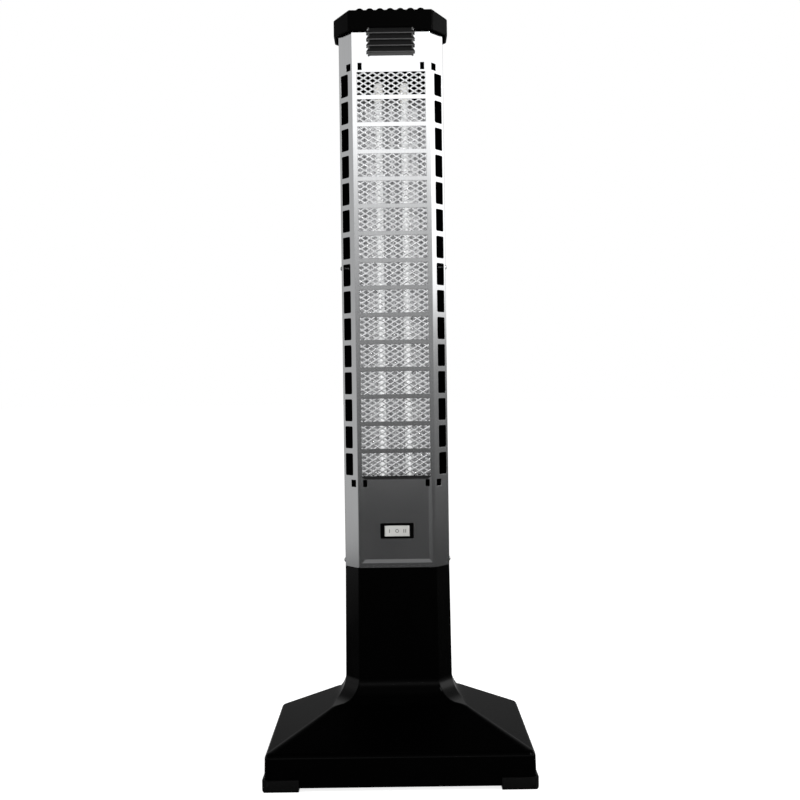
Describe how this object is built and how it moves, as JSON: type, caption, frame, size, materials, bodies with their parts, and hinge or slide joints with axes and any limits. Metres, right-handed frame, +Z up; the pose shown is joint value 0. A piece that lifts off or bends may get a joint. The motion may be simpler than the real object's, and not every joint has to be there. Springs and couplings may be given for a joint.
{
  "type": "infrared patio heater tower",
  "caption": "Free-standing infrared patio heater: steel column with a windowed front over mesh, reflector and quartz lamps, ribbed cap, rocker switch, flared moulded base on feet.",
  "frame": {"origin": "on the floor under the middle of the base", "axes": "+Z up along the column, the front with its windows and switch faces -Y"},
  "size_m": [0.3342, 0.3342, 0.9668],
  "materials": {
    "stainless_sheet": "stainless sheet, fine brushed",
    "polished_sheet": "polished aluminium sheet",
    "mesh": "flattened expanded steel, bright",
    "galvanised": "zinc coated steel, dull",
    "black_moulding": "moulded, satin gloss",
    "dark_plastic": "moulded, matt",
    "white_rocker": "moulded, glossy",
    "ceramic": "unglazed steatite",
    "quartz": "milky fused quartz",
    "heating_wire": "oxidised resistance wire",
    "iron": "painted casting",
    "brass": "plain brass",
    "screw_steel": "zinc plated",
    "rubber": "moulded, matt",
    "lead_sleeve": "braided glass sleeve over silicone"
  },
  "bodies": {
    "tower": {"front_shell": "stainless_sheet", "rear_shell": "stainless_sheet", "mesh_guard": "mesh", "reflector": "polished_sheet", "heat_shield": "galvanised", "lamp_bracket_top": "galvanised", "lamp_bracket_bottom": "galvanised", "quartz_tube_left": "quartz", "quartz_tube_right": "quartz", "heating_coil_left": "heating_wire", "heating_coil_right": "heating_wire", "ceramic_cap_top_left": "ceramic", "ceramic_cap_top_right": "ceramic", "ceramic_cap_bottom_left": "ceramic", "ceramic_cap_bottom_right": "ceramic", "thermal_cutout": "brass", "top_plate": "galvanised", "top_cap": "dark_plastic", "cap_screws": "screw_steel", "vent_louvre": "dark_plastic", "side_screws": "screw_steel", "switch_bezel": "dark_plastic", "switch_body": "dark_plastic", "switch_terminals": "brass", "terminal_block": "ceramic", "terminal_screws": "brass", "inner_wiring": "lead_sleeve", "base_moulding": "black_moulding", "base_plate": "galvanised", "ballast": "iron", "base_screws": "screw_steel", "ballast_screws": "screw_steel", "foot_front_left": "rubber", "foot_front_right": "rubber", "foot_back_left": "rubber", "foot_back_right": "rubber", "gland_body": "dark_plastic", "gland_nut": "dark_plastic", "gland_dome": "dark_plastic", "tip_bracket": "galvanised", "tip_pin": "screw_steel", "tip_microswitch": "dark_plastic", "tip_screws": "screw_steel"},
    "rocker": {"rocker": "white_rocker"},
    "pendulum": {"tip_pendulum": "brass"}
  },
  "joints": [
    {"name": "rocker_tilt", "type": "hinge", "parent": "tower", "child": "rocker", "pos_m": [0, -0.052, 0.3036], "axis": [0, 0, 1], "range_deg": [-12, 12]},
    {"name": "pendulum_swing", "type": "hinge", "parent": "tower", "child": "pendulum", "pos_m": [0, 0, 0.0555], "axis": [0, 1, 0], "range_deg": [-20, 20]}
  ]
}
